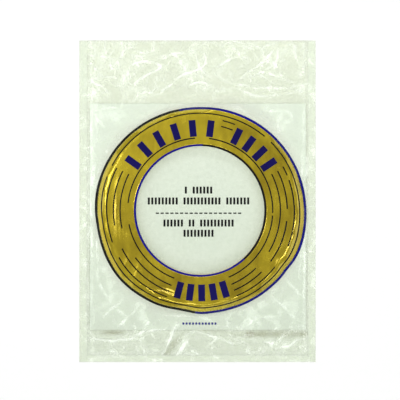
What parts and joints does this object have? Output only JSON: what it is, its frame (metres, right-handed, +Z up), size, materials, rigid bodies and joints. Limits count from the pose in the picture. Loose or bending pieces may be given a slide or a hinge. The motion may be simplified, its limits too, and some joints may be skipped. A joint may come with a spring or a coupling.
{
  "type": "copper foil tape roll",
  "caption": "Tape roll on a paper core, lying on a card in a flat printed film bag; the card slides out, the roll turns, and the tape end lifts and parts from its liner.",
  "frame": {"origin": "centre of the bag's outline on its back face, which is the surface that it lies on", "axes": "+Z up through the pack, along the roll's axis; +Y towards the bag's mouth; +X to the right seen from the printed side"},
  "size_m": [0.14, 0.1906, 0.0087],
  "materials": {
    "clear_film": "clear glossy polyethylene, faintly green",
    "welded_film": "clear film welded double",
    "gold_ink": "metallic gold ink under gloss",
    "blue_ink": "navy ink",
    "black_ink": "black ink",
    "white_card": "smooth white board",
    "core_paperboard": "spiral-wound grey-brown board",
    "core_paper": "smooth pale lining",
    "wound_edges": "fine rings of copper, black and paper edges",
    "copper_foil": "bright rolled copper",
    "black_adhesive": "black-coated adhesive, satin",
    "release_paper": "waxed release paper"
  },
  "bodies": {
    "bag": {"bag_back_film": "clear_film", "bag_front_film": "clear_film", "left_side_seal": "welded_film", "right_side_seal": "welded_film", "bottom_seal": "welded_film", "gold_ring_print": "gold_ink", "blue_print": "blue_ink", "black_print": "black_ink"},
    "card": {"backing_card": "white_card"},
    "roll": {"core_board": "core_paperboard", "core_bore_lining": "core_paper", "wound_tape": "wound_edges", "last_turn_foil": "copper_foil", "last_turn_adhesive": "black_adhesive", "last_turn_liner": "release_paper"},
    "tape_end": {"end_foil": "copper_foil", "end_adhesive": "black_adhesive"},
    "liner_end": {"end_liner": "release_paper"}
  },
  "joints": [
    {"name": "card_slide", "type": "slide", "parent": "bag", "child": "card", "axis": [0, 1, 0], "range_m": [0, 0.18], "deforming": ["bag_front_film", "gold_ring_print", "blue_print", "black_print"]},
    {"name": "roll_spin", "type": "hinge", "parent": "card", "child": "roll", "pos_m": [0.0015, -0.0046, 0.00447], "axis": [0, 0, 1], "continuous": true},
    {"name": "tape_end_lift", "type": "hinge", "parent": "roll", "child": "tape_end", "pos_m": [0.0444, 0.0314, 0.00447], "axis": [0, 0, -1], "range_deg": [0, 15]},
    {"name": "liner_peel", "type": "hinge", "parent": "tape_end", "child": "liner_end", "pos_m": [0.04433, 0.03134, 0.00447], "axis": [0, 0, -1], "range_deg": [-7.5, 0]}
  ],
  "couplings": [
    {"joint": "liner_peel", "follows": "tape_end_lift", "ratio": -0.5}
  ]
}
